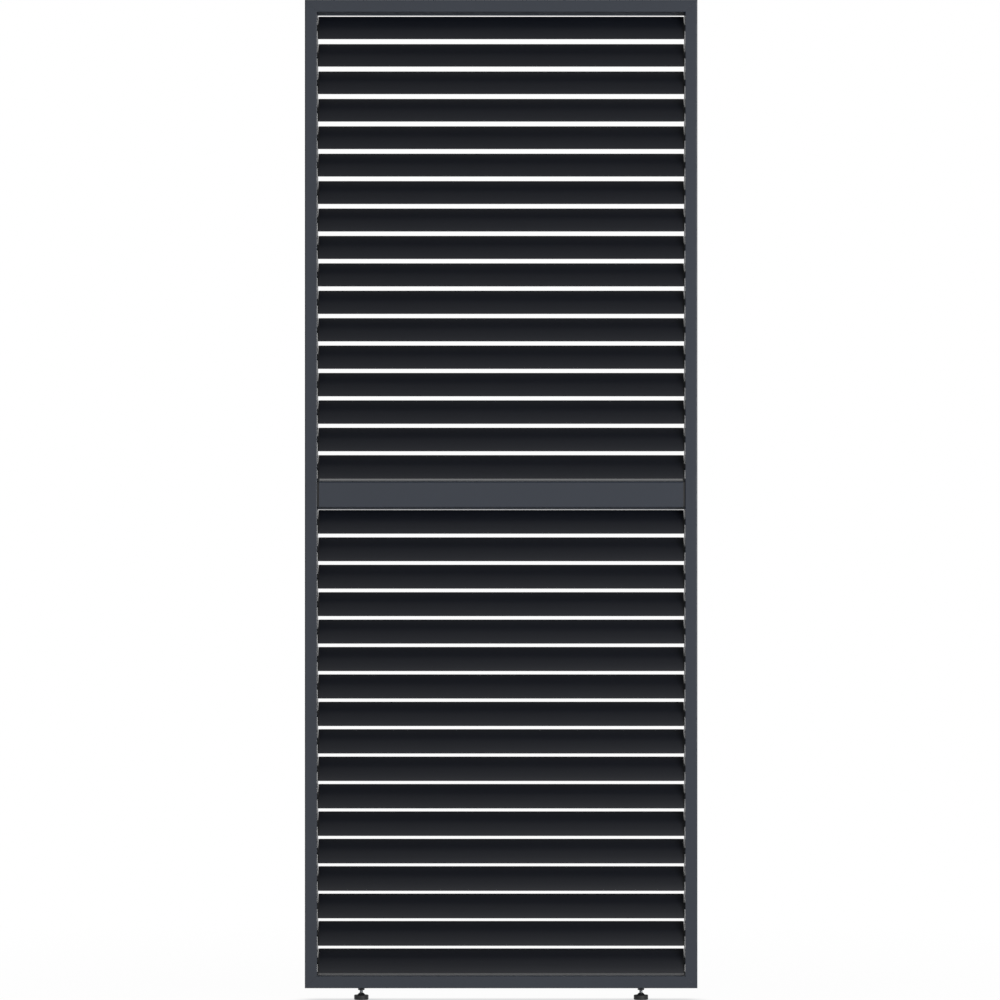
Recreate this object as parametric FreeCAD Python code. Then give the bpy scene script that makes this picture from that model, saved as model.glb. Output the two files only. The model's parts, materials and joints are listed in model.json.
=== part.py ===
import FreeCAD, Part
import math
import os

# Louvred privacy screen: a mitred aluminium frame with two banks of pivoting slats.
# Millimetres and degrees. The origin is on the floor under the middle of the screen,
# +X is to the right seen from the front, the front faces -Y and +Z is up.

# Frame
panel_width = 900.0
frame_depth = 50.0
frame_face = 28.0
frame_wall = 2.0
outer_edge_radius = 3.0
inner_edge_radius = 1.5
stile_lip = 1.2
head_lip = 4.9
sill_lip = 6.5
mid_sill_step = 1.6
mid_sill_run = 12.0
bottom_sill_step = 0.3
bottom_sill_run = 15.5
mid_rail_face = 60.0
mid_rail_recess = 2.0
mid_rail_edge_radius = 4.0
mid_rail_end_gap = 4.5
mid_rail_rear_clearance = 0.2
cleat_thickness = 22.0
cleat_leg = 40.0
cleat_depth = 34.0
cleat_clearance = 0.2

# Pivot strips inside the stiles
strip_thickness = 2.0
strip_clearance = 0.1
strip_rib_thickness = 1.4
strip_rib_height = 1.6

# Slats
slats_per_bank = 17
slat_chord = 65.0
slat_thickness = 10.0
slat_tip_radius = 1.3
slat_wall = 1.4
slat_web_spacing = 22.0
slat_overlap = 2.0
slat_rest_tilt = 33.5
slat_end_gap = 2.0
head_rail_clearance = 2.4
sill_rail_clearance = 0.6
mid_rail_clearance = 0.5
cap_thickness = 3.0
cap_spigot_length = 10.0
cap_spigot_clearance = 0.2

# Pivots
pin_radius = 4.0
pin_running_clearance = 0.08
bush_flange_radius = 7.5
bush_barrel_radius = 5.5
bush_barrel_proud = 2.0
bush_seat_clearance = 0.05
bush_cap_gap = 0.3

# Cranks and link bars in the left stile
crank_radius = 12.0
crank_rest_angle = 13.5
crank_hub_radius = 7.0
crank_hub_length = 6.0
crank_arm_thickness = 4.0
crank_end_radius = 4.5
crank_gap = 0.5
crank_bore_clearance = 0.05
crank_pin_radius = 2.5
crank_pin_proud = 1.5
link_bar_gap = 0.4
link_bar_thickness = 3.0
link_bar_half_width = 5.0
link_bar_hole_clearance = 0.3

# Mid rail fixings
end_plug_depth = 12.0
end_plug_clearance = 0.2
rail_screw_radius = 3.0
rail_screw_clearance = 0.1
rail_screw_spacing = 30.0
rail_screw_length = 14.0
rail_screw_head_radius = 5.0
rail_screw_head_height = 4.0
screw_access_radius = 6.5

# Side fixing holes in the outer web of each stile
side_hole_radius = 3.25
side_hole_set_forward = 9.0
side_hole_pitches = 13.5

# Levelling feet
foot_height = 28.0
foot_inset = 129.0
foot_rise = 6.0
stud_radius = 4.0
stud_head_room = 2.0
stud_tip_chamfer = 0.8
stud_running_clearance = 0.08
pad_radius = 16.5
pad_flange_height = 11.3
pad_edge_radius = 1.6
pad_foot_chamfer = 0.8
pad_boss_radius = 9.2
pad_boss_taper = 3.8
pad_boss_height = 15.8
pad_floor = 3.0
pad_core_radius = 8.0
pad_rim_lift = 0.6
grip_count = 8
grip_thickness = 1.6
grip_radius = 15.0
grip_inner_edge = 9.5
grip_slot = 1.6
grip_seat_clearance = 0.1
nut_across_flats = 13.0
nut_height = 5.0
nut_chamfer = 0.8
insert_flange_radius = 7.5
insert_flange_height = 0.8
insert_barrel_radius = 5.5
insert_length = 15.0
insert_seat_clearance = 0.05

# Places worked out from the sizes above
half_width = panel_width / 2
half_depth = frame_depth / 2
inner_x = half_width - frame_face
lip_x = inner_x - stile_lip
web_x = half_width - frame_wall
cavity_depth = half_depth - frame_wall
slat_pitch = slat_chord - slat_overlap
head_offset = slat_chord / 2 + head_rail_clearance
sill_offset = slat_chord / 2 + sill_rail_clearance
mid_offset = slat_chord / 2 + mid_rail_clearance
slat_run = (slats_per_bank - 1) * slat_pitch + mid_offset
frame_height = 2 * (frame_face + slat_run) + head_offset + sill_offset + mid_rail_face
frame_bottom = foot_height
frame_top = frame_bottom + frame_height
half_height = frame_bottom + frame_height / 2
mid_height = frame_bottom + frame_face + sill_offset + slat_run + mid_rail_face / 2
mid_rail_front = -half_depth + mid_rail_recess
mid_rail_rear = cavity_depth - mid_rail_rear_clearance
mid_rail_half_length = inner_x - mid_rail_end_gap
first_from_mid = mid_rail_face / 2 + mid_offset
slat_half_length = inner_x - slat_end_gap
strip_back_x = inner_x + strip_thickness
bush_end_x = strip_back_x + bush_barrel_proud
crank_x = bush_end_x + crank_gap
crank_back_x = crank_x + crank_hub_length
link_bar_x = crank_back_x + link_bar_gap
crank_pin_end_x = link_bar_x + link_bar_thickness + crank_pin_proud
pin_bore_radius = pin_radius + pin_running_clearance
foot_x = half_width - foot_inset
insert_bottom = frame_bottom - insert_flange_height
stud_top = frame_bottom + frame_face - frame_wall - foot_rise - stud_head_room
stud_bore_radius = stud_radius + stud_running_clearance
overrun = frame_wall

ALONG_X = FreeCAD.Vector(1, 0, 0)
ALONG_Y = FreeCAD.Vector(0, 1, 0)
ALONG_Z = FreeCAD.Vector(0, 0, 1)
ORIGIN = FreeCAD.Vector(0, 0, 0)


def save(node, solids):
    """Write one piece, or a group of like pieces, as parts/NODE.step."""
    shape = solids[0] if len(solids) == 1 else Part.makeCompound(solids)
    shape.exportStep(os.path.join("parts", node + ".step"))


def block(x0, x1, y0, y1, z0, z1):
    """A plain block between two corners."""
    return Part.makeBox(x1 - x0, y1 - y0, z1 - z0, FreeCAD.Vector(x0, y0, z0))


def rod(radius, x0, x1, y=0.0, z=0.0):
    """A round bar along X."""
    return Part.makeCylinder(radius, x1 - x0, FreeCAD.Vector(x0, y, z), ALONG_X)


def post(radius, z0, z1, x=0.0, y=0.0):
    """A round bar along Z."""
    return Part.makeCylinder(radius, z1 - z0, FreeCAD.Vector(x, y, z0), ALONG_Z)


def prism(points, run):
    """A flat outline of corner points, extruded by a vector."""
    return Part.Face(Part.makePolygon(points + points[:1])).extrude(run)


def mirrored_x(shape):
    """The same piece on the other side of the screen."""
    return shape.mirror(ORIGIN, ALONG_X)


def slat_heights():
    """Pivot heights of all slats, from the top of the screen down."""
    steps = [first_from_mid + i * slat_pitch for i in range(slats_per_bank)]
    above = [mid_height + step for step in reversed(steps)]
    below = [mid_height - step for step in steps]
    return above + below


def side_hole_heights():
    """The two side fixing holes lie half way between pivots, near the ends of the stile."""
    reach = first_from_mid + side_hole_pitches * slat_pitch
    return [mid_height - reach, mid_height + reach]


def rail_screw_heights():
    """The two screws at each end of the mid rail."""
    return [mid_height - rail_screw_spacing / 2, mid_height + rail_screw_spacing / 2]


def rounded_edges(shape, direction, radius, on_corner):
    """Round the long edges along a direction whose middle passes the given test."""
    edges = []
    for edge in shape.Edges:
        run = edge.lastVertex().Point - edge.firstVertex().Point
        along = run.Length > 0 and abs(abs(run.normalize().dot(direction)) - 1) < 1e-6
        if along and on_corner(edge.CenterOfMass):
            edges.append(edge)
    return shape.makeFillet(radius, edges)


def upright_mitre(reach):
    """The wedge-ended slab that a right-hand upright keeps of its straight length."""
    y0 = -half_depth - frame_wall
    corners = [
        FreeCAD.Vector(half_width, y0, frame_bottom),
        FreeCAD.Vector(half_width, y0, frame_top),
        FreeCAD.Vector(half_width - reach, y0, frame_top - reach),
        FreeCAD.Vector(half_width - reach, y0, frame_bottom + reach),
    ]
    return prism(corners, ALONG_Y * (frame_depth + 2 * frame_wall))


def rail_mitre(reach):
    """The wedge-ended slab that the top rail keeps of its straight length."""
    y0 = -half_depth - frame_wall
    corners = [
        FreeCAD.Vector(-half_width, y0, frame_top),
        FreeCAD.Vector(half_width, y0, frame_top),
        FreeCAD.Vector(half_width - reach, y0, frame_top - reach),
        FreeCAD.Vector(-half_width + reach, y0, frame_top - reach),
    ]
    return prism(corners, ALONG_Y * (frame_depth + 2 * frame_wall))


def right_stile():
    """An extruded channel, open to the slats, with a longer rear wall and seats for the strip."""
    rib_x = strip_back_x + strip_clearance
    rib_end = rib_x + strip_rib_thickness
    rib_y = cavity_depth - strip_rib_height
    section = [
        (half_width, -half_depth),
        (half_width, half_depth),
        (lip_x, half_depth),
        (lip_x, cavity_depth),
        (rib_x, cavity_depth),
        (rib_x, rib_y),
        (rib_end, rib_y),
        (rib_end, cavity_depth),
        (web_x, cavity_depth),
        (web_x, -cavity_depth),
        (rib_end, -cavity_depth),
        (rib_end, -rib_y),
        (rib_x, -rib_y),
        (rib_x, -cavity_depth),
        (inner_x, -cavity_depth),
        (inner_x, -half_depth),
    ]
    corners = [FreeCAD.Vector(x, y, frame_bottom) for x, y in section]
    stile = prism(corners, ALONG_Z * frame_height)
    stile = rounded_edges(
        stile, ALONG_Z, outer_edge_radius, lambda p: p.x > web_x and abs(p.y) > cavity_depth
    )
    stile = rounded_edges(
        stile, ALONG_Z, inner_edge_radius,
        lambda p: p.x < strip_back_x and p.y < -cavity_depth - frame_wall / 2,
    )
    stile = stile.common(upright_mitre(frame_face + stile_lip + overrun))
    for z in side_hole_heights():
        hole = rod(side_hole_radius, web_x - overrun, half_width + overrun, -side_hole_set_forward, z)
        stile = stile.cut(hole)
    for z in rail_screw_heights():
        stile = stile.cut(rod(screw_access_radius, web_x - overrun, half_width + overrun, 0, z))
    return stile


def end_rail(lip):
    """The top rail with a given lip: a closed box whose rear wall runs on past the opening."""
    low = frame_top - frame_face
    body = block(-half_width, half_width, -half_depth, half_depth, low, frame_top)
    wall = block(-half_width, half_width, cavity_depth, half_depth, low - lip, frame_top)
    rail = body.fuse(wall).removeSplitter()
    rail = rounded_edges(rail, ALONG_X, outer_edge_radius, lambda p: p.z > frame_top - frame_wall)
    rail = rounded_edges(
        rail, ALONG_X, inner_edge_radius, lambda p: p.z < low + frame_wall and p.y < -cavity_depth
    )
    hollow = block(
        -half_width, half_width, -cavity_depth, cavity_depth, low + frame_wall, frame_top - frame_wall
    )
    rail = rail.cut(hollow).common(rail_mitre(frame_face + lip + overrun))
    lip_between_stiles = block(-lip_x, lip_x, cavity_depth, half_depth, low - lip, low)
    return rail.fuse(lip_between_stiles).removeSplitter()


def sill_slope(end, rear, base, step, run):
    """The ledge in front of a sill's lip: a low step, then a slope that sheds water to the front."""
    front = rear - run
    outline = [(front, base), (front, base + step), (rear, base + sill_lip), (rear, base)]
    corners = [FreeCAD.Vector(-end, y, z) for y, z in outline]
    return prism(corners, ALONG_X * 2 * end)


def bottom_rail():
    """An end rail turned over, with a sloped sill and a hole for each foot insert."""
    rail = end_rail(sill_lip).mirror(FreeCAD.Vector(0, 0, half_height), ALONG_Z)
    slope = sill_slope(lip_x, cavity_depth, frame_bottom + frame_face, bottom_sill_step, bottom_sill_run)
    rail = rail.fuse(slope).removeSplitter()
    hole_radius = insert_barrel_radius + insert_seat_clearance
    for x in (-foot_x, foot_x):
        rail = rail.cut(post(hole_radius, frame_bottom - overrun, frame_bottom + frame_wall + overrun, x))
    return rail


def mid_rail():
    """A closed box with a sloped sill above and a head lip below; the rear wall runs on to the strips."""
    end = mid_rail_half_length
    wall_end = inner_x - strip_clearance
    low = mid_height - mid_rail_face / 2
    high = mid_height + mid_rail_face / 2
    lip_front = mid_rail_rear - frame_wall
    body = block(-end, end, mid_rail_front, mid_rail_rear, low, high)
    wall = block(-wall_end, wall_end, lip_front, mid_rail_rear, low - head_lip, high + sill_lip)
    slope = sill_slope(end, lip_front, high, mid_sill_step, mid_sill_run)
    rail = body.fuse([wall, slope]).removeSplitter()
    rail = rounded_edges(rail, ALONG_X, mid_rail_edge_radius, lambda p: p.y < mid_rail_front + frame_wall)
    hollow = block(-end, end, mid_rail_front + frame_wall, lip_front, low + frame_wall, high - frame_wall)
    return rail.cut(hollow)


def right_pivot_strip():
    """The inner strip that closes the channel, holed for the bushes and the mid rail screws."""
    width = cavity_depth - strip_clearance
    strip = block(inner_x, strip_back_x, -width, width, frame_bottom, frame_top)
    strip = strip.common(upright_mitre(frame_face + overrun))
    bush_hole = bush_barrel_radius + bush_seat_clearance
    screw_hole = rail_screw_radius + rail_screw_clearance
    for z in slat_heights():
        strip = strip.cut(rod(bush_hole, inner_x - overrun, strip_back_x + overrun, 0, z))
    for z in rail_screw_heights():
        strip = strip.cut(rod(screw_hole, inner_x - overrun, strip_back_x + overrun, 0, z))
    return strip


def corner_cleat():
    """The angle block that joins a stile and a rail inside the top right mitre."""
    x1 = web_x - cleat_clearance
    z1 = frame_top - frame_wall - cleat_clearance
    outline = [
        (x1, z1),
        (x1, z1 - cleat_leg),
        (x1 - cleat_thickness, z1 - cleat_leg),
        (x1 - cleat_thickness, z1 - cleat_thickness),
        (x1 - cleat_leg, z1 - cleat_thickness),
        (x1 - cleat_leg, z1),
    ]
    corners = [FreeCAD.Vector(x, -cleat_depth / 2, z) for x, z in outline]
    return prism(corners, ALONG_Y * cleat_depth)


def corner_cleats():
    """All four cleats, mirrored from one."""
    right = corner_cleat()
    lower = right.mirror(FreeCAD.Vector(0, 0, half_height), ALONG_Z)
    return [right, mirrored_x(right), lower, mirrored_x(lower)]


def end_plug():
    """The plug in the right end of the mid rail, which stands out of it to meet the strip."""
    half = mid_rail_face / 2 - frame_wall - end_plug_clearance
    front = mid_rail_front + frame_wall + end_plug_clearance
    rear = mid_rail_rear - frame_wall - end_plug_clearance
    inner_end = mid_rail_half_length - end_plug_depth
    plug = block(inner_end, inner_x, front, rear, mid_height - half, mid_height + half)
    hole_radius = rail_screw_radius + rail_screw_clearance
    for z in rail_screw_heights():
        plug = plug.cut(rod(hole_radius, inner_end - overrun, inner_x + overrun, 0, z))
    return plug


def rail_screw(z):
    """A cheese-head screw from inside the right stile into the end plug."""
    shank = rod(rail_screw_radius, strip_back_x - rail_screw_length, strip_back_x, 0, z)
    head = rod(rail_screw_head_radius, strip_back_x, strip_back_x + rail_screw_head_height, 0, z)
    return shank.fuse(head).removeSplitter()


def pivot_bush(z):
    """A flanged bush pressed into the right strip, which a slat pin turns in."""
    flange = rod(bush_flange_radius, slat_half_length + bush_cap_gap, inner_x, 0, z)
    barrel = rod(bush_barrel_radius, inner_x, bush_end_x, 0, z)
    bore = rod(pin_bore_radius, slat_half_length, bush_end_x + overrun, 0, z)
    return flange.fuse(barrel).cut(bore).removeSplitter()


def lens(chord, thickness, tip_radius, x0, x1):
    """A slender lens of four arcs standing upright about the X axis, extruded from x0 to x1."""
    shoulder = chord / 2 - tip_radius
    corners = [
        FreeCAD.Vector(x0, -tip_radius, -shoulder),
        FreeCAD.Vector(x0, -tip_radius, shoulder),
        FreeCAD.Vector(x0, tip_radius, shoulder),
        FreeCAD.Vector(x0, tip_radius, -shoulder),
    ]
    crowns = [
        FreeCAD.Vector(x0, -thickness / 2, 0),
        FreeCAD.Vector(x0, 0, chord / 2),
        FreeCAD.Vector(x0, thickness / 2, 0),
        FreeCAD.Vector(x0, 0, -chord / 2),
    ]
    ends = corners[1:] + corners[:1]
    arcs = [Part.Arc(a, crown, b).toShape() for a, crown, b in zip(corners, crowns, ends)]
    return Part.Face(Part.Wire(arcs)).extrude(ALONG_X * (x1 - x0))


def slat_blade():
    """A hollow lens extrusion with two webs beside the pivot line."""
    end = slat_half_length - cap_thickness
    hollow = lens(
        slat_chord - 4 * slat_wall, slat_thickness - 2 * slat_wall, slat_tip_radius / 2, -end, end
    )
    for side in (-1, 1):
        low = side * slat_web_spacing / 2 - slat_wall / 2
        web = block(-end, end, -slat_thickness, slat_thickness, low, low + slat_wall)
        hollow = hollow.cut(web)
    return lens(slat_chord, slat_thickness, slat_tip_radius, -end, end).cut(hollow)


def slat_cap(pin_end):
    """A moulded cap for the right end of a slat, with its spigot and pivot pin in one piece."""
    inner_end = slat_half_length - cap_thickness
    plate = lens(slat_chord, slat_thickness, slat_tip_radius, inner_end, slat_half_length)
    room = lens(
        slat_chord - 4 * slat_wall, slat_thickness - 2 * slat_wall - 2 * cap_spigot_clearance,
        slat_tip_radius / 2, inner_end - cap_spigot_length, inner_end,
    )
    reach = slat_web_spacing / 2 - slat_wall / 2 - cap_spigot_clearance
    between_webs = block(
        inner_end - cap_spigot_length, inner_end, -slat_thickness, slat_thickness, -reach, reach
    )
    pin = rod(pin_radius, slat_half_length, pin_end)
    return plate.fuse([room.common(between_webs), pin]).removeSplitter()


def crank():
    """The arm on a slat's left pin, made for the right side and pointing back along +Y."""
    arm_x = crank_back_x - crank_arm_thickness
    hub = rod(crank_hub_radius, crank_x, crank_back_x)
    arm = block(arm_x, crank_back_x, 0, crank_radius, -crank_end_radius, crank_end_radius)
    tip = rod(crank_end_radius, arm_x, crank_back_x, crank_radius)
    pin = rod(crank_pin_radius, crank_back_x, crank_pin_end_x, crank_radius)
    bore = rod(pin_radius + crank_bore_clearance, crank_x - overrun, crank_back_x + overrun)
    return hub.fuse([arm, tip, pin]).cut(bore).removeSplitter()


def crank_pin_place():
    """Where the crank pin stands from its pivot at rest, in Y and Z."""
    angle = math.radians(crank_rest_angle)
    return crank_radius * math.cos(angle), crank_radius * math.sin(angle)


def link_bar(heights):
    """The flat bar in the left stile that joins the crank pins of one bank."""
    pin_y, pin_z = crank_pin_place()
    x0 = -link_bar_x - link_bar_thickness
    x1 = -link_bar_x
    top = max(heights) + pin_z
    bottom = min(heights) + pin_z
    bar = block(x0, x1, pin_y - link_bar_half_width, pin_y + link_bar_half_width, bottom, top)
    bar = bar.fuse([rod(link_bar_half_width, x0, x1, pin_y, z) for z in (bottom, top)]).removeSplitter()
    hole_radius = crank_pin_radius + link_bar_hole_clearance
    for z in heights:
        bar = bar.cut(rod(hole_radius, x0 - overrun, x1 + overrun, pin_y, z + pin_z))
    return bar


def foot_insert(x):
    """The flanged threaded insert that a foot stud screws into."""
    flange = post(insert_flange_radius, insert_bottom, frame_bottom, x)
    barrel = post(insert_barrel_radius, frame_bottom, frame_bottom + insert_length, x)
    bore = post(stud_bore_radius, insert_bottom - overrun, frame_bottom + insert_length + overrun, x)
    return flange.fuse(barrel).cut(bore).removeSplitter()


def turned(points, x):
    """A round piece about an upright axis, from a half outline of radius and height."""
    corners = [FreeCAD.Vector(r, 0, z) for r, z in points]
    face = Part.Face(Part.makePolygon(corners + corners[:1]))
    piece = face.revolve(ORIGIN, ALONG_Z, 360)
    piece.translate(FreeCAD.Vector(x, 0, 0))
    return piece


def foot_stud(x):
    """The threaded stud, chamfered at both ends."""
    outline = [
        (0, pad_floor),
        (stud_radius - stud_tip_chamfer, pad_floor),
        (stud_radius, pad_floor + stud_tip_chamfer),
        (stud_radius, stud_top - stud_tip_chamfer),
        (stud_radius - stud_tip_chamfer, stud_top),
        (0, stud_top),
    ]
    return turned(outline, x)


def foot_pad(x):
    """The moulded round pad, with a tapered boss around the stud and a ring groove for the grips."""
    shoulder = pad_radius - pad_edge_radius
    boss_top = pad_boss_radius - pad_boss_taper
    groove_radius = grip_radius + grip_seat_clearance
    outline = [
        (0, 0),
        (pad_core_radius, 0),
        (pad_core_radius, grip_thickness),
        (groove_radius, grip_thickness),
        (groove_radius, pad_rim_lift),
        (pad_radius - pad_foot_chamfer, pad_rim_lift),
        (pad_radius, pad_rim_lift + pad_foot_chamfer),
        (pad_radius, pad_flange_height - pad_edge_radius),
        (shoulder, pad_flange_height),
        (pad_boss_radius, pad_flange_height),
        (boss_top, pad_boss_height),
        (stud_bore_radius, pad_boss_height),
        (stud_bore_radius, pad_floor),
        (0, pad_floor),
    ]
    return turned(outline, x)


def foot_grips(x):
    """The rubber segments set in the groove under a pad, with slots between them."""
    half_angle = math.pi / grip_count
    narrowing = grip_slot / 2 / math.cos(half_angle)
    near = grip_inner_edge * math.tan(half_angle) - narrowing
    far = pad_radius * math.tan(half_angle) - narrowing
    corners = [
        FreeCAD.Vector(grip_inner_edge, -near, 0),
        FreeCAD.Vector(pad_radius, -far, 0),
        FreeCAD.Vector(pad_radius, far, 0),
        FreeCAD.Vector(grip_inner_edge, near, 0),
    ]
    grip = prism(corners, ALONG_Z * grip_thickness).common(post(grip_radius, 0, grip_thickness)).Solids[0]
    grips = []
    for i in range(grip_count):
        grip_here = grip.rotated(ORIGIN, ALONG_Z, 360 * i / grip_count)
        grips.append(grip_here.translated(FreeCAD.Vector(x, 0, 0)))
    return grips


def lock_nut(x):
    """A thin hexagon nut with chamfered corners, run up against the insert's flange."""
    low = insert_bottom - nut_height
    corner_radius = nut_across_flats / math.sqrt(3)
    corners = []
    for i in range(6):
        angle = math.radians(60 * i)
        corner = FreeCAD.Vector(math.cos(angle), math.sin(angle), 0) * corner_radius
        corners.append(corner + FreeCAD.Vector(x, 0, low))
    hexagon = prism(corners, ALONG_Z * nut_height)
    outline = [
        (stud_bore_radius, low),
        (corner_radius - nut_chamfer, low),
        (corner_radius, low + nut_chamfer / 2),
        (corner_radius, insert_bottom - nut_chamfer / 2),
        (corner_radius - nut_chamfer, insert_bottom),
        (stud_bore_radius, insert_bottom),
    ]
    return hexagon.common(turned(outline, x))


def save_frame():
    """The fixed frame and what is fastened inside it."""
    stile = right_stile()
    strip = right_pivot_strip()
    save("right_stile", [stile])
    save("left_stile", [mirrored_x(stile)])
    save("top_rail", [end_rail(head_lip)])
    save("bottom_rail", [bottom_rail()])
    save("mid_rail", [mid_rail()])
    save("right_pivot_strip", [strip])
    save("left_pivot_strip", [mirrored_x(strip)])
    save("corner_cleats", corner_cleats())
    plug = end_plug()
    save("mid_rail_end_plugs", [plug, mirrored_x(plug)])
    screws = [rail_screw(z) for z in rail_screw_heights()]
    save("mid_rail_screws", screws + [mirrored_x(screw) for screw in screws])
    save("foot_inserts", [foot_insert(-foot_x), foot_insert(foot_x)])


def save_banks():
    """The slats, their bushes and their link bars, one bank above the mid rail and one below."""
    blade = slat_blade()
    right_cap = slat_cap(bush_end_x)
    left_cap = mirrored_x(slat_cap(crank_back_x))
    slat = Part.makeCompound([blade, left_cap, right_cap])
    slat.rotate(ORIGIN, ALONG_X, -slat_rest_tilt)
    arm = mirrored_x(crank())
    arm.rotate(ORIGIN, ALONG_X, crank_rest_angle)
    pieces = slat.Solids + [arm]
    heights = slat_heights()
    for number, z in enumerate(heights, 1):
        save("slat_%02d" % number, [piece.translated(FreeCAD.Vector(0, 0, z)) for piece in pieces])
    banks = {"upper": heights[:slats_per_bank], "lower": heights[slats_per_bank:]}
    for bank, bank_heights in banks.items():
        bushes = [pivot_bush(z) for z in bank_heights]
        save(bank + "_right_bushes", bushes)
        save(bank + "_left_bushes", [mirrored_x(bush) for bush in bushes])
        save(bank + "_link_bar", [link_bar(bank_heights)])


def save_feet():
    """The two levelling feet."""
    for side, x in (("left", -foot_x), ("right", foot_x)):
        save(side + "_foot_stud", [foot_stud(x)])
        save(side + "_foot_pad", [foot_pad(x)])
        save(side + "_foot_grips", foot_grips(x))
        save(side + "_lock_nut", [lock_nut(x)])


os.makedirs("parts", exist_ok=True)
save_frame()
save_banks()
save_feet()
print("frame %.1f high, screen %.1f high, slat pitch %.1f" % (frame_height, frame_top, slat_pitch))
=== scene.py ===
import json
import math
import bmesh
import bpy
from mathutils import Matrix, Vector


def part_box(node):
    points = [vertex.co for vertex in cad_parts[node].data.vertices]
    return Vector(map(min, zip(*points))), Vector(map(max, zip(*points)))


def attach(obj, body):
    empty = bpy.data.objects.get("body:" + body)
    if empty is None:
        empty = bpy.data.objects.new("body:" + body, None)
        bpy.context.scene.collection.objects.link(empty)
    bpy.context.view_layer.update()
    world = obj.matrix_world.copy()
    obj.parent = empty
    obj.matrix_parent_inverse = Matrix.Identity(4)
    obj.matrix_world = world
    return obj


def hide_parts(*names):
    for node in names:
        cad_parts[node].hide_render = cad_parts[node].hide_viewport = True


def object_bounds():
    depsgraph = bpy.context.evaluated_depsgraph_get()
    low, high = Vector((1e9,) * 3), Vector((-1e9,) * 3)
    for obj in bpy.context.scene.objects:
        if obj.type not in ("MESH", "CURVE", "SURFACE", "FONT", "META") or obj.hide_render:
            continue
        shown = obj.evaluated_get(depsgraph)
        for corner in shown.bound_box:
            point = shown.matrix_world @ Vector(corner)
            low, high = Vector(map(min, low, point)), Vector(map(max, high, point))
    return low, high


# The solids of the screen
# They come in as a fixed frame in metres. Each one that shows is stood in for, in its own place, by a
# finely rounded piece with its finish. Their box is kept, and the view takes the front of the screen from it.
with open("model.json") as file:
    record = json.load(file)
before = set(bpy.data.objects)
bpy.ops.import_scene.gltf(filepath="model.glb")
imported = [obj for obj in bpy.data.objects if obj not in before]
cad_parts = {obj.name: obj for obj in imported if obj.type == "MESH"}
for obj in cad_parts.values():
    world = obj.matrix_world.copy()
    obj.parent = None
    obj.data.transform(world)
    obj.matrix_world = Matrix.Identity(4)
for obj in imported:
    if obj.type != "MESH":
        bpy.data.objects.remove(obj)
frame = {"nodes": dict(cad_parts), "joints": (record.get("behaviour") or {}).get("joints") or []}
cad_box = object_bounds()

# The view
# Square on and level with the middle of the screen, through a long lens. The gaps between the slats
# narrow evenly from top to bottom, and that rate gives a distance of about 13.4 m.
view_distance = 13.4
view_width = 2.2918
view_height = 1.1472
view_sideways = -0.0026
screen_front = cad_box[0].y
lens_data = bpy.data.cameras.new("long_lens")
lens_data.sensor_width = 36.0
lens_data.lens = lens_data.sensor_width * view_distance / view_width
lens_data.clip_end = 200.0
long_lens = bpy.data.objects.new("long_lens", lens_data)
long_lens.location = (view_sideways, screen_front - view_distance, view_height)
long_lens.rotation_euler = (math.radians(90), 0, 0)
bpy.context.scene.collection.objects.link(long_lens)
bpy.context.scene.camera = long_lens

# Stiles
# Two extruded aluminium channels, open towards the slats, mitred at both ends and powder coated. The
# rear wall is wider and hides the space beside the slats. Holes in the outer web take fixing screws,
# and two larger ones let a key reach the screws of the mid rail.
MM = 0.001
wall = 2.0 * MM
outer_edge = 3.0 * MM
inner_edge = 1.5 * MM
broken_edge = 0.25 * MM
mitre_gap = 0.06 * MM
strip_play = 0.1 * MM
rib_thickness = 1.4 * MM
rib_height = 1.6 * MM
fixing_hole_radius = 3.25 * MM
fixing_hole_forward = 9.0 * MM
fixing_hole_reach = 913.5 * MM
key_hole_radius = 6.5 * MM
key_hole_reach = 15.0 * MM
coat_colour = "#232B38"
coat_cloud = "#262E3B"
coat_roughness = 0.2
draw_line_length = 500 * MM
draw_line_width = 2 * MM
stile_low, stile_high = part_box("right_stile")
strip_low, strip_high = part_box("right_pivot_strip")
plug_low, plug_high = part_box("mid_rail_end_plugs")
panel_half_width = stile_high.x
panel_half_depth = stile_high.y
frame_bottom = stile_low.z
frame_top = stile_high.z
opening_half_width = strip_low.x
mid_height = (plug_low.z + plug_high.z) / 2
cavity = panel_half_depth - wall
rib_near = strip_high.x + strip_play
rib_far = rib_near + rib_thickness
rib_tip = cavity - rib_height


def linear(code):
    """An sRGB hex colour as linear light."""
    parts = [int(code[i:i + 2], 16) / 255 for i in (1, 3, 5)]
    light = [p / 12.92 if p <= 0.04045 else ((p + 0.055) / 1.055) ** 2.4 for p in parts]
    return (*light, 1.0)


def add_node(tree, kind, sockets, **settings):
    """Adds a node with its settings; each socket is linked, joined from a list, or set."""
    made = tree.nodes.new(kind)
    for name, value in settings.items():
        setattr(made, name, value)
    for key, value in sockets.items():
        if isinstance(value, bpy.types.NodeSocket):
            tree.links.new(value, made.inputs[key])
        elif isinstance(value, list):
            for source in value:
                tree.links.new(source, made.inputs[key])
        else:
            made.inputs[key].default_value = value
    return made


def new_finish(name):
    """A new material, with its node tree and its shader."""
    finish = bpy.data.materials.new(name)
    finish.use_nodes = True
    return finish, finish.node_tree, finish.node_tree.nodes["Principled BSDF"]


def drawn_marks(tree, place, lengths):
    """Faint marks of drawing or tumbling, which run this far along X, Y and Z."""
    along = add_node(
        tree, "ShaderNodeMapping", {"Vector": place, "Scale": tuple(1 / length for length in lengths)}
    )
    marks = add_node(tree, "ShaderNodeTexNoise", {"Vector": along.outputs[0], "Scale": 1.0, "Detail": 3.0})
    return marks.outputs[0]


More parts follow.
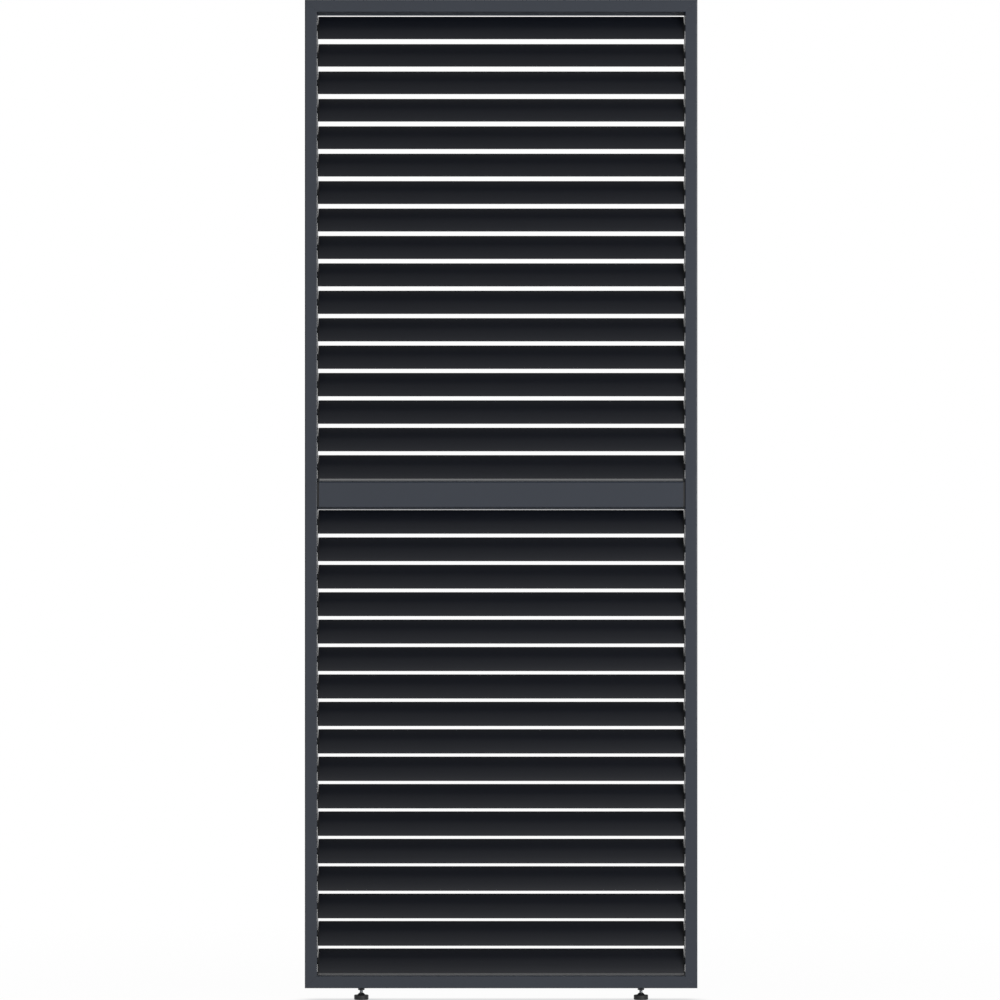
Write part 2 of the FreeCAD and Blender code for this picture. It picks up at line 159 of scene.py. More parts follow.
def powder_coat(name, colour, cloud_colour, roughness, drawn):
    """Baked polyester powder over aluminium: satin, with a fine orange peel and a faint cloudiness.

    drawn is how far the faint lines of the extrusion run, in metres along X, Y and Z.
    """
    cloud_size = 160 * MM
    # The peel is about 0.5 mm on the real coat and is drawn at 1.2 mm, so that it shows in a close view.
    peel_size = 1.2 * MM
    peel_height = 0.12 * MM
    peel_strength = 0.18
    line_share = 0.35
    gloss_spread = 0.04
    # Level faces are dull: dust lies on the upper ones, and powder is thin on those inside the opening.
    level_from = 0.97
    level_to = 0.995
    dusty_roughness = 0.8
    coat, tree, skin = new_finish(name)
    surface = add_node(tree, "ShaderNodeTexCoord", {})
    place = surface.outputs["Object"]
    cloud = add_node(
        tree, "ShaderNodeTexNoise", {"Vector": place, "Scale": 1 / cloud_size, "Detail": 4.0}
    )
    tone = add_node(
        tree, "ShaderNodeMix",
        {0: cloud.outputs[0], 6: linear(colour), 7: linear(cloud_colour)}, data_type="RGBA",
    )
    tree.links.new(tone.outputs[2], skin.inputs["Base Color"])
    peel = add_node(tree, "ShaderNodeTexNoise", {"Vector": place, "Scale": 1 / peel_size, "Detail": 2.0})
    lines = drawn_marks(tree, place, drawn)
    relief = add_node(
        tree, "ShaderNodeMath", {0: lines, 1: line_share, 2: peel.outputs[0]}, operation="MULTIPLY_ADD"
    )
    bump = add_node(
        tree, "ShaderNodeBump",
        {"Height": relief.outputs[0], "Strength": peel_strength, "Distance": peel_height},
    )
    tree.links.new(bump.outputs[0], skin.inputs["Normal"])
    gloss = add_node(
        tree, "ShaderNodeMapRange",
        {"Value": lines, "To Min": roughness - gloss_spread, "To Max": roughness + gloss_spread},
    )
    facing = add_node(tree, "ShaderNodeSeparateXYZ", {0: surface.outputs["Normal"]})
    level_face = add_node(tree, "ShaderNodeMath", {0: facing.outputs["Z"]}, operation="ABSOLUTE")
    dust = add_node(
        tree, "ShaderNodeMapRange",
        {"Value": level_face.outputs[0], "From Min": level_from, "From Max": level_to},
    )
    dulled = add_node(
        tree, "ShaderNodeMix", {0: dust.outputs[0], 2: gloss.outputs[0], 3: dusty_roughness},
        data_type="FLOAT",
    )
    tree.links.new(dulled.outputs[0], skin.inputs["Roughness"])
    return coat


def rounded_outline(corners, steps=6):
    """Corners of a flat outline, each with its radius, as points with every arc drawn out."""
    points = []
    for i, (a, b, radius) in enumerate(corners):
        here = Vector((a, b))
        if radius == 0:
            points.append(here)
            continue
        before = (Vector(corners[i - 1][:2]) - here).normalized()
        after = (Vector(corners[(i + 1) % len(corners)][:2]) - here).normalized()
        half_angle = before.angle(after) / 2
        reach = radius / math.tan(half_angle)
        centre = here + (before + after).normalized() * (radius / math.sin(half_angle))
        start = here + before * reach - centre
        end = here + after * reach - centre
        for k in range(steps + 1):
            points.append(centre + start.lerp(end, k / steps).normalized() * radius)
    return points


def mesh_piece(name, points, faces, finish):
    """An object at the origin from points and faces, with its faces turned outwards."""
    same_point = 0.001 * MM
    mesh = bpy.data.meshes.new(name)
    mesh.from_pydata(points, [], faces)
    shaped = bmesh.new()
    shaped.from_mesh(mesh)
    bmesh.ops.remove_doubles(shaped, verts=shaped.verts, dist=same_point)
    bmesh.ops.recalc_face_normals(shaped, faces=shaped.faces)
    shaped.to_mesh(mesh)
    shaped.free()
    mesh.materials.append(finish)
    piece = bpy.data.objects.new(name, mesh)
    bpy.context.scene.collection.objects.link(piece)
    return piece


def extrusion(name, outline, ends, finish):
    """A flat outline drawn out between the two ends that each of its points has."""
    pairs = [ends(p) for p in outline]
    count = len(pairs)
    points = [a for a, b in pairs] + [b for a, b in pairs]
    faces = [(i, (i + 1) % count, (i + 1) % count + count, i + count) for i in range(count)]
    faces += [tuple(range(count)), tuple(range(count, 2 * count))]
    return mesh_piece(name, points, faces, finish)


def baked(piece):
    """The piece's modifiers turned into its plain mesh."""
    depsgraph = bpy.context.evaluated_depsgraph_get()
    mesh = bpy.data.meshes.new_from_object(piece.evaluated_get(depsgraph))
    piece.modifiers.clear()
    piece.data = mesh
    return piece


def eased(piece, width):
    """Sharp edges broken by a small width, then faces shaded as flats joined by soft edges."""
    broken_from = math.radians(40)
    sharp_from = math.radians(38)
    if width > 0:
        edge = piece.modifiers.new("eased_edges", "BEVEL")
        edge.width = width
        edge.segments = 2
        edge.limit_method = "ANGLE"
        edge.angle_limit = broken_from
        baked(piece)
    piece.data.shade_smooth()
    piece.data.set_sharp_from_angle(angle=sharp_from)
    weighted = piece.modifiers.new("flat_faces", "WEIGHTED_NORMAL")
    weighted.keep_sharp = True
    return baked(piece)


def cut_out(piece, cutter):
    """The cutter's space taken out of the piece, and the cutter removed."""
    hole = piece.modifiers.new("holes", "BOOLEAN")
    hole.operation = "DIFFERENCE"
    hole.solver = "EXACT"
    hole.object = cutter
    baked(piece)
    bpy.data.objects.remove(cutter)
    return piece


def fitted(piece, body, slot, *nodes):
    """The piece moves with its body and stands for these solids, which are hidden; slot is not used."""
    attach(piece, body)
    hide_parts(*nodes)
    return piece


def hole_plugs(name, holes, x0, x1, finish):
    """Round bars along X, as one cutter, from radius, depth and height of each hole."""
    points = []
    faces = []
    steps = 40
    for radius, y, z in holes:
        first = len(points)
        for x in (x0, x1):
            for k in range(steps):
                turn = 2 * math.pi * k / steps
                points.append((x, y + radius * math.cos(turn), z + radius * math.sin(turn)))
        for k in range(steps):
            after = (k + 1) % steps
            faces.append((first + k, first + after, first + steps + after, first + steps + k))
        faces.append(tuple(range(first, first + steps)))
        faces.append(tuple(range(first + steps, first + 2 * steps)))
    return mesh_piece(name, points, faces, finish)


# Powder coated aluminium gives a blue-black satin with soft reflections, broken by lines along its length.
frame_coat = powder_coat(
    "anthracite_powder_coat", coat_colour, coat_cloud, coat_roughness,
    (draw_line_width, draw_line_width, draw_line_length),
)
channel = [
    (panel_half_width, -panel_half_depth, outer_edge),
    (panel_half_width, panel_half_depth, outer_edge),
    (stile_low.x, panel_half_depth, 0),
    (stile_low.x, cavity, 0),
    (rib_near, cavity, 0),
    (rib_near, rib_tip, 0),
    (rib_far, rib_tip, 0),
    (rib_far, cavity, 0),
    (panel_half_width - wall, cavity, 0),
    (panel_half_width - wall, -cavity, 0),
    (rib_far, -cavity, 0),
    (rib_far, -rib_tip, 0),
    (rib_near, -rib_tip, 0),
    (rib_near, -cavity, 0),
    (opening_half_width, -cavity, 0),
    (opening_half_width, -panel_half_depth, inner_edge),
]
web_holes = []
for radius, y, reach in (
    (fixing_hole_radius, -fixing_hole_forward, fixing_hole_reach), (key_hole_radius, 0.0, key_hole_reach),
):
    web_holes += [(radius, y, mid_height - reach), (radius, y, mid_height + reach)]
for side, sign in (("left", -1), ("right", 1)):
    stile = extrusion(
        side + "_stile_channel",
        rounded_outline(channel),
        lambda p: (
            (sign * p.x, p.y, frame_bottom + panel_half_width - p.x + mitre_gap),
            (sign * p.x, p.y, frame_top - panel_half_width + p.x - mitre_gap),
        ),
        frame_coat,
    )
    web_ends = sorted((sign * (panel_half_width - 2 * wall), sign * (panel_half_width + wall)))
    cut_out(stile, hole_plugs("web_holes", web_holes, *web_ends, frame_coat))
    fitted(eased(stile, broken_edge), "frame", "frame_powder_coat", side + "_stile")

# Top and bottom rails
# Box extrusions in the same coat, mitred into the stiles. The rear wall runs past the opening as a
# lip, short under the top rail. On the bottom rail it is taller and a sloped sill leads up to it.
bottom_sill_step = 0.3 * MM
bottom_sill_run = 15.5 * MM
# The same blue-black satin as on the stiles, with its faint lines across the screen.
rail_coat = powder_coat(
    "anthracite_powder_coat_across", coat_colour, coat_cloud, coat_roughness,
    (draw_line_length, draw_line_width, draw_line_width),
)
for rail_name, up in (("top_rail", 1), ("bottom_rail", -1)):
    rail_low, rail_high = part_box(rail_name)
    outer_z = rail_high.z if up > 0 else rail_low.z
    lip_z = rail_low.z if up > 0 else rail_high.z
    face_z = outer_z - up * (panel_half_width - opening_half_width)
    lip_foot = [(cavity, face_z, 0)]
    if up < 0:
        sill_front = cavity - bottom_sill_run
        lip_foot = [(sill_front, face_z, 0), (sill_front, face_z + bottom_sill_step, 0)]
    rail_section = [
        (-panel_half_depth, face_z, inner_edge),
        *lip_foot,
        (cavity, lip_z, 0),
        (panel_half_depth, lip_z, 0),
        (panel_half_depth, outer_z, outer_edge),
        (-panel_half_depth, outer_z, outer_edge),
    ]

    def rail_ends(p):
        """A rail's ends lie on the mitres, and its lip ends between the stiles' lips."""
        reach = max(panel_half_width - abs(outer_z - p.y), stile_low.x) - mitre_gap
        return (-reach, p.x, p.y), (reach, p.x, p.y)

    rail = extrusion(rail_name + "_box", rounded_outline(rail_section), rail_ends, rail_coat)
    fitted(eased(rail, broken_edge), "frame", "frame_powder_coat", rail_name)

# Mid rail
# A taller box extrusion set 2 mm back from the front and stopped just short of the stiles, so that a
# dark line shows at each end. Its rear wall runs on to the stiles and has a lip above and below, with a
# sloped sill before the upper one.
mid_low, mid_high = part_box("mid_rail")
mid_edge = 4.0 * MM
mid_half_face = 30.0 * MM
mid_end_gap = 4.5 * MM
mid_sill_step = 1.6 * MM
mid_sill_run = 12.0 * MM
face_bottom = mid_height - mid_half_face
face_top = mid_height + mid_half_face
lip_front = mid_high.y - wall
sill_front = lip_front - mid_sill_run


def rail_length(name, corners, x0, x1):
    """A section from front to back and bottom to top, drawn out between two places along X."""
    return extrusion(
        name, rounded_outline(corners), lambda p: ((x0, p.x, p.y), (x1, p.x, p.y)), rail_coat
    )


def square_section(y0, y1, z0, z1):
    """A section with four sharp corners."""
    return [(y0, z0, 0), (y1, z0, 0), (y1, z1, 0), (y0, z1, 0)]


mid_section = [
    (mid_low.y, face_bottom, mid_edge),
    (lip_front, face_bottom, 0),
    (lip_front, mid_low.z, 0),
    (mid_high.y, mid_low.z, 0),
    (mid_high.y, mid_high.z, 0),
    (lip_front, mid_high.z, 0),
    (sill_front, face_top + mid_sill_step, 0),
    (sill_front, face_top, 0),
    (mid_low.y, face_top, mid_edge),
]
mid_rail = rail_length("mid_rail_box", mid_section, mid_low.x, mid_high.x)
mid_hollow = square_section(mid_low.y + wall, lip_front, face_bottom + wall, face_top - wall)
cut_out(mid_rail, rail_length("mid_rail_hollow", mid_hollow, mid_low.x - wall, mid_high.x + wall))
before_wall = square_section(mid_low.y - wall, lip_front, mid_low.z - wall, mid_high.z + wall)
for sign in (-1, 1):
    stop_from = sign * (opening_half_width - mid_end_gap)
    stop_to = sign * (opening_half_width + wall)
    cut_out(mid_rail, rail_length("mid_rail_stop", before_wall, stop_from, stop_to))
fitted(eased(mid_rail, broken_edge), "frame", "frame_powder_coat", "mid_rail")


# Inner fixings
# Moulded nylon plugs close the ends of the mid rail; cut aluminium cleats hold the mitres; coated strips
# close the channels and carry the bushes; flat aluminium bars link the slats; zinc-plated steel inserts
# are pressed into the bottom rail. Hardly any of this shows, so the solids keep their own shape.
def moulded(name, colour, grain, ior, shiniest, dullest):
    """A black moulding as it leaves a spark-eroded mould: matt, with a fine even grain.

    Real grain is 0.2 to 0.4 mm, and is drawn at about 1 mm, so that it shows in a close view.
    """
    flow_size = 9 * MM
    darkest = 0.7
    grain_depth = 0.06 * MM
    grain_strength = 0.2
    moulding, tree, skin = new_finish(name)
    skin.inputs["IOR"].default_value = ior
    place = add_node(tree, "ShaderNodeTexCoord", {}).outputs["Object"]
    pits = add_node(tree, "ShaderNodeTexVoronoi", {"Vector": place, "Scale": 1 / grain})
    flow = add_node(tree, "ShaderNodeTexNoise", {"Vector": place, "Scale": 1 / flow_size, "Detail": 3.0})
    darker = tuple(darkest * c for c in linear(colour)[:3]) + (1.0,)
    tone = add_node(
        tree, "ShaderNodeMix", {0: flow.outputs[0], 6: darker, 7: linear(colour)}, data_type="RGBA"
    )
    tree.links.new(tone.outputs[2], skin.inputs["Base Color"])
    bump = add_node(
        tree, "ShaderNodeBump",
        {"Height": pits.outputs[0], "Strength": grain_strength, "Distance": grain_depth},
    )
    tree.links.new(bump.outputs[0], skin.inputs["Normal"])
    gloss = add_node(
        tree, "ShaderNodeMapRange", {"Value": flow.outputs[0], "To Min": shiniest, "To Max": dullest}
    )
    tree.links.new(gloss.outputs[0], skin.inputs["Roughness"])
    return moulding


def bare_metal(name, colour, dull_colour, roughness, grain):
    """A metal with no paint: faint drawn or tumbled marks, and patches where it is duller.

    Real marks are a few hundredths of a millimetre wide, and are drawn at about 1 mm, so that they show.
    """
    patch_size = 6 * MM
    mark_depth = 0.04 * MM
    mark_strength = 0.15
    gloss_spread = 0.08
    metal, tree, skin = new_finish(name)
    skin.inputs["Metallic"].default_value = 1.0
    place = add_node(tree, "ShaderNodeTexCoord", {}).outputs["Object"]
    patches = add_node(
        tree, "ShaderNodeTexNoise", {"Vector": place, "Scale": 1 / patch_size, "Detail": 4.0}
    )
    marks = drawn_marks(tree, place, grain)
    tone = add_node(
        tree, "ShaderNodeMix", {0: patches.outputs[0], 6: linear(dull_colour), 7: linear(colour)},
        data_type="RGBA",
    )
    tree.links.new(tone.outputs[2], skin.inputs["Base Color"])
    gloss = add_node(
        tree, "ShaderNodeMapRange",
        {"Value": marks, "To Min": roughness - gloss_spread, "To Max": roughness + gloss_spread},
    )
    tree.links.new(gloss.outputs[0], skin.inputs["Roughness"])
    bump = add_node(
        tree, "ShaderNodeBump", {"Height": marks, "Strength": mark_strength, "Distance": mark_depth}
    )
    tree.links.new(bump.outputs[0], skin.inputs["Normal"])
    return metal


# Glass-filled nylon is deep black and matt, so plugs, bushes and slat ends read as dark blocks.
nylon_ior = 1.53
nylon_gloss = (0.5, 0.65)
bush_nylon = moulded("black_nylon_moulding", "#17181A", 0.8 * MM, nylon_ior, *nylon_gloss)
# Aluminium as extruded is pale grey, with lines along its length that spread its highlights.
mill_line = (1.2 * MM, 1.2 * MM, 120 * MM)
mill_aluminium = bare_metal("mill_finish_aluminium", "#C4C6C9", "#AEB1B5", 0.38, mill_line)
# Zinc plate on steel is a cool bright grey with slightly duller patches.
zinc_grain = (1.0 * MM, 1.0 * MM, 1.0 * MM)
zinc_steel = bare_metal("zinc_plated_steel", "#B4B6B8", "#97999C", 0.34, zinc_grain)
for node_name, finish in (
    ("mid_rail_end_plugs", bush_nylon), ("corner_cleats", mill_aluminium), ("foot_inserts", zinc_steel),
    ("left_pivot_strip", frame_coat), ("right_pivot_strip", frame_coat),
    ("upper_link_bar", mill_aluminium), ("lower_link_bar", mill_aluminium),
):
    frame["nodes"][node_name].material_slots[0].material = finish

# Mid rail screws
# Four zinc-plated cheese-head screws with a hexagon socket, two at each end, driven from inside the
# stiles through the strips into the end plugs.
screw_radius = 3.0 * MM
screw_length = 14.0 * MM
screw_point = 0.6 * MM
screw_head_radius = 5.0 * MM
screw_head_height = 4.0 * MM
screw_head_soft = 0.5 * MM
socket_radius = 2.7 * MM
socket_floor = 1.8 * MM
socket_deepest = 1.6 * MM
screw_sides = 24


def new_tree(name, inputs):
    """A Geometry Nodes tree with these named inputs and one shape, and the sockets it is given."""
    tree = bpy.data.node_groups.new(name, "GeometryNodeTree")
    for label, kind in inputs.items():
        tree.interface.new_socket(label, in_out="INPUT", socket_type="NodeSocket" + kind)
    tree.interface.new_socket("Shape", in_out="OUTPUT", socket_type="NodeSocketGeometry")
    return tree, add_node(tree, "NodeGroupInput", {}).outputs


def ends_in(tree, shape, finish):
    """The last nodes of a tree: real geometry in one finish."""
    real = add_node(tree, "GeometryNodeRealizeInstances", {"Geometry": shape})
    done = add_node(tree, "GeometryNodeSetMaterial", {"Geometry": real.outputs[0], "Material": finish})
    add_node(tree, "NodeGroupOutput", {0: done.outputs[0]})


def row_tree(name):
    """Like pieces set out by equal steps and turns, as one mesh with one finish."""
    tree, given = new_tree(name, {
        "Piece": "Object", "Count": "Int", "First": "Vector", "Step": "Vector", "Turn": "Float",
        "Turn Step": "Float", "Finish": "Material",
    })
    piece = add_node(tree, "GeometryNodeObjectInfo", {"Object": given["Piece"]})
    places = add_node(
        tree, "GeometryNodeMeshLine",
        {"Count": given["Count"], "Start Location": given["First"], "Offset": given["Step"]},
    )
    number = add_node(tree, "GeometryNodeInputIndex", {})
    turn = add_node(
        tree, "ShaderNodeMath", {0: number.outputs[0], 1: given["Turn Step"], 2: given["Turn"]},
        operation="MULTIPLY_ADD",
    )
    angles = add_node(tree, "ShaderNodeCombineXYZ", {"Z": turn.outputs[0]})
    rotation = add_node(tree, "FunctionNodeEulerToRotation", {0: angles.outputs[0]})
    copies = add_node(
        tree, "GeometryNodeInstanceOnPoints",
        {"Points": places.outputs[0], "Instance": piece.outputs["Geometry"], "Rotation": rotation.outputs[0]},
    )
    ends_in(tree, copies.outputs[0], given["Finish"])
    return tree


def grown(name, tree, sizes):
    """A plain mesh grown by a tree whose named inputs are set to these sizes."""
    piece = bpy.data.objects.new(name, bpy.data.meshes.new(name))
    bpy.context.scene.collection.objects.link(piece)
    grower = piece.modifiers.new(tree.name, "NODES")
    grower.node_group = tree
    for item in tree.interface.items_tree:
        if item.in_out == "INPUT":
            grower[item.identifier] = sizes[item.name]
    return baked(piece)


def turned(name, outline, steps, finish, along_x=False):
    """A lathe-turned piece about Z, or about X, from a closed outline of radius and height."""
    points = []
    faces = []
    count = len(outline)
    for k in range(steps):
        angle = 2 * math.pi * k / steps
        for radius, height in outline:
            a = radius * math.cos(angle)
            b = radius * math.sin(angle)
            points.append((height, a, b) if along_x else (a, b, height))
    for k in range(steps):
        for i in range(count):
            j = (i + 1) % count
            if outline[i][0] == 0 and outline[j][0] == 0:
                continue
            here = k * count
            after = (k + 1) % steps * count
            corners = [here + i, here + j, after + j, after + i]
            if outline[i][0] == 0:
                corners = [here + i, here + j, after + j]
            if outline[j][0] == 0:
                corners = [here + i, here + j, after + i]
            faces.append(corners)
    return mesh_piece(name, points, faces, finish)


set_out = row_tree("like_pieces_in_a_row")
head_seat = strip_high.x
head_top = head_seat + screw_head_height
screw_end = head_seat - screw_length
screw_outline = [
    (0.0, screw_end),
    (screw_radius - screw_point, screw_end),
    (screw_radius, screw_end + screw_point),
    (screw_radius, head_seat),
    (screw_head_radius, head_seat),
    (screw_head_radius, head_top - screw_head_soft),
    (screw_head_radius - screw_head_soft, head_top),
    (socket_radius, head_top),
    (socket_radius, head_seat + socket_floor),
    (0.0, head_seat + socket_deepest),
]
screw_pattern = turned("screw_pattern", screw_outline, screw_sides, zinc_steel, along_x=True)
for side, turn in (("right", 0.0), ("left", math.pi)):
    screws = grown(side + "_mid_rail_screw_pair", set_out, {
        "Piece": screw_pattern, "Count": 2, "First": (0.0, 0.0, mid_height - key_hole_reach),
        "Step": (0.0, 0.0, 2 * key_hole_reach), "Turn": turn, "Turn Step": 0.0, "Finish": zinc_steel,
    })
    fitted(eased(screws, 0.0), "frame", "zinc_plated_steel", "mid_rail_screws")
bpy.data.objects.remove(screw_pattern)

# Pivot bushes
# Flanged nylon bushes pressed into the strips, one at each end of each slat. Their flanges fill the
# space beside the slats and show as small dark blocks in the light line at the pivots.
bush_flange = 7.5 * MM
bush_barrel = 5.5 * MM
bush_bore = 4.08 * MM
bush_lead = 0.3 * MM
bush_soft = 0.5 * MM
bush_chamfer = 0.4 * MM
bush_sides = 28
bush_low, bush_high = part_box("upper_right_bushes")
bush_outline = [
    (bush_bore, bush_low.x + bush_lead),
    (bush_bore + bush_lead, bush_low.x),
    (bush_flange - bush_soft, bush_low.x),
    (bush_flange, bush_low.x + bush_soft),
    (bush_flange, opening_half_width),
    (bush_barrel, opening_half_width),
    (bush_barrel, bush_high.x - bush_chamfer),
    (bush_barrel - bush_chamfer, bush_high.x),
    (bush_bore, bush_high.x),
]
bush_pattern = turned("bush_pattern", bush_outline, bush_sides, bush_nylon, along_x=True)
slat_joints = [j for j in frame["joints"] if j["child"].startswith("slat_")]
slat_pivots = {j["child"]: j["pos_m"][2] for j in slat_joints}
slat_names = sorted(slat_pivots)
bank_size = len(slat_names) // 2
slat_pitch = slat_pivots[slat_names[0]] - slat_pivots[slat_names[1]]
for bank, top_slat in (("upper", slat_names[0]), ("lower", slat_names[bank_size])):
    for side, turn in (("right", 0.0), ("left", math.pi)):
        bushes = grown(f"{bank}_{side}_bush_row", set_out, {
            "Piece": bush_pattern, "Count": bank_size, "First": (0.0, 0.0, slat_pivots[top_slat]),
            "Step": (0.0, 0.0, -slat_pitch), "Turn": turn, "Turn Step": 0.0, "Finish": bush_nylon,
        })
        fitted(eased(bushes, 0.0), "frame", "bush_nylon", f"{bank}_{side}_bushes")
bpy.data.objects.remove(bush_pattern)

# Slats
# Hollow lens-shaped aluminium extrusions in the same coat, each with a moulded nylon cap and pin in
# both ends. The left pin carries a crank whose small pin runs in the link bar inside the stile.
slat_chord = 65.0 * MM
slat_thickness = 10.0 * MM
slat_tip = 1.3 * MM
slat_end_gap = 0.3 * MM
slat_tilt = math.radians(33.5)
slat_half_length = bush_low.x - slat_end_gap
face_points = 26
tip_points = 9
cap_thickness = 3.0 * MM
cap_rings = 7
pin_radius = 4.0 * MM
pin_sides = 20
right_pin_end = bush_high.x
crank_gap = 0.5 * MM
crank_thickness = 6.0 * MM
crank_reach = 12.0 * MM
crank_angle = math.radians(13.5)
crank_hub_radius = 7.0 * MM
crank_arm_width = 9.0 * MM
crank_arm_thickness = 4.0 * MM
crank_pin_radius = 2.5 * MM
crank_pin_length = 4.9 * MM
crank_from = bush_high.x + crank_gap
crank_to = crank_from + crank_thickness
crank_arm_from = crank_to - crank_arm_thickness
crank_pin_end = crank_to + crank_pin_length
lens_sizes = ("Chord", "Thickness", "Tip Radius")


def sized(*labels):
    """Inputs for plain sizes."""
    return dict.fromkeys(labels, "Float")


def lens_tree():
    """The slat's outline: two long shallow arcs that meet in small round tips."""
    same_point = 0.005 * MM
    tree, given = new_tree("lens_outline", sized(*lens_sizes))
    half_chord = add_node(tree, "ShaderNodeMath", {0: given["Chord"], 1: 0.5}, operation="MULTIPLY")
    half_thick = add_node(tree, "ShaderNodeMath", {0: given["Thickness"], 1: 0.5}, operation="MULTIPLY")
    shoulder = add_node(
        tree, "ShaderNodeMath", {0: half_chord.outputs[0], 1: given["Tip Radius"]}, operation="SUBTRACT"
    )
    below = add_node(tree, "ShaderNodeMath", {0: shoulder.outputs[0], 1: -1.0}, operation="MULTIPLY")
    behind = add_node(tree, "ShaderNodeMath", {0: given["Tip Radius"], 1: -1.0}, operation="MULTIPLY")
    low = add_node(tree, "ShaderNodeCombineXYZ", {"X": given["Tip Radius"], "Y": below.outputs[0]})
    crown = add_node(tree, "ShaderNodeCombineXYZ", {"X": half_thick.outputs[0]})
    high = add_node(tree, "ShaderNodeCombineXYZ", {"X": given["Tip Radius"], "Y": shoulder.outputs[0]})
    peak = add_node(tree, "ShaderNodeCombineXYZ", {"Y": half_chord.outputs[0]})
    far = add_node(tree, "ShaderNodeCombineXYZ", {"X": behind.outputs[0], "Y": shoulder.outputs[0]})
    arcs = []
    for count, start, middle, end in ((face_points, low, crown, high), (tip_points, high, peak, far)):
        arcs.append(add_node(
            tree, "GeometryNodeCurveArc",
            {"Resolution": count, "Start": start.outputs[0], "Middle": middle.outputs[0],
             "End": end.outputs[0]},
            mode="POINTS",
        ).outputs[0])
    half = add_node(tree, "GeometryNodeJoinGeometry", {"Geometry": arcs})
    other = add_node(
        tree, "GeometryNodeTransform", {"Geometry": half.outputs[0], "Rotation": (0.0, 0.0, math.pi)}
    )
    both = add_node(tree, "GeometryNodeJoinGeometry", {"Geometry": [half.outputs[0], other.outputs[0]]})
    wire = add_node(tree, "GeometryNodeCurveToMesh", {"Curve": both.outputs[0]})
    ring = add_node(
        tree, "GeometryNodeMergeByDistance", {"Geometry": wire.outputs[0], "Distance": same_point}
    )
    loop = add_node(tree, "GeometryNodeMeshToCurve", {"Mesh": ring.outputs[0]})
    add_node(tree, "NodeGroupOutput", {0: loop.outputs[0]})
    return tree


def lens_outline(tree, lens, given):
    """The outline of a slat, at the sizes that its tree is given."""
    return add_node(
        tree, "GeometryNodeGroup", {label: given[label] for label in lens_sizes}, node_tree=lens
    ).outputs[0]


def length_run(tree, z0, z1):
    """A straight run along Z, which is a slat's length until it is laid down."""
    start = add_node(tree, "ShaderNodeCombineXYZ", {"Z": z0})
    end = add_node(tree, "ShaderNodeCombineXYZ", {"Z": z1})
    return add_node(
        tree, "GeometryNodeCurvePrimitiveLine", {"Start": start.outputs[0], "End": end.outputs[0]}
    ).outputs[0]


def stood_on_pivot(tree, shape, given):
    """Turns a slat made along Z to lie along X, sets it at its pivot and gives it its finish."""
    height = add_node(tree, "ShaderNodeCombineXYZ", {"Z": given["Pivot Height"]})
    lying = add_node(
        tree, "GeometryNodeTransform",
        {"Geometry": shape, "Translation": height.outputs[0], "Rotation": (math.pi / 2, 0.0, math.pi / 2)},
    )
    ends_in(tree, lying.outputs[0], given["Finish"])


def tilted(tree, shape, given):
    """The shape leaned back by the slat's tilt."""
    back = add_node(tree, "ShaderNodeMath", {0: given["Tilt"], 1: -1.0}, operation="MULTIPLY")
    angles = add_node(tree, "ShaderNodeCombineXYZ", {"Z": back.outputs[0]})
    rotation = add_node(tree, "FunctionNodeEulerToRotation", {0: angles.outputs[0]})
    return add_node(
        tree, "GeometryNodeTransform", {"Geometry": shape, "Rotation": rotation.outputs[0]}
    ).outputs[0]


def blade_tree(lens):
    """The extruded blade of one slat, between its end caps."""
    tree, given = new_tree("slat_blade", {
        **sized(*lens_sizes, "Half Length", "Tilt", "Pivot Height"), "Finish": "Material",
    })
    other_end = add_node(tree, "ShaderNodeMath", {0: given["Half Length"], 1: -1.0}, operation="MULTIPLY")
    blade = add_node(
        tree, "GeometryNodeCurveToMesh",
        {"Curve": length_run(tree, other_end.outputs[0], given["Half Length"]),
         "Profile Curve": lens_outline(tree, lens, given), "Fill Caps": True},
    )
    stood_on_pivot(tree, tilted(tree, blade.outputs[0], given), given)
    return tree


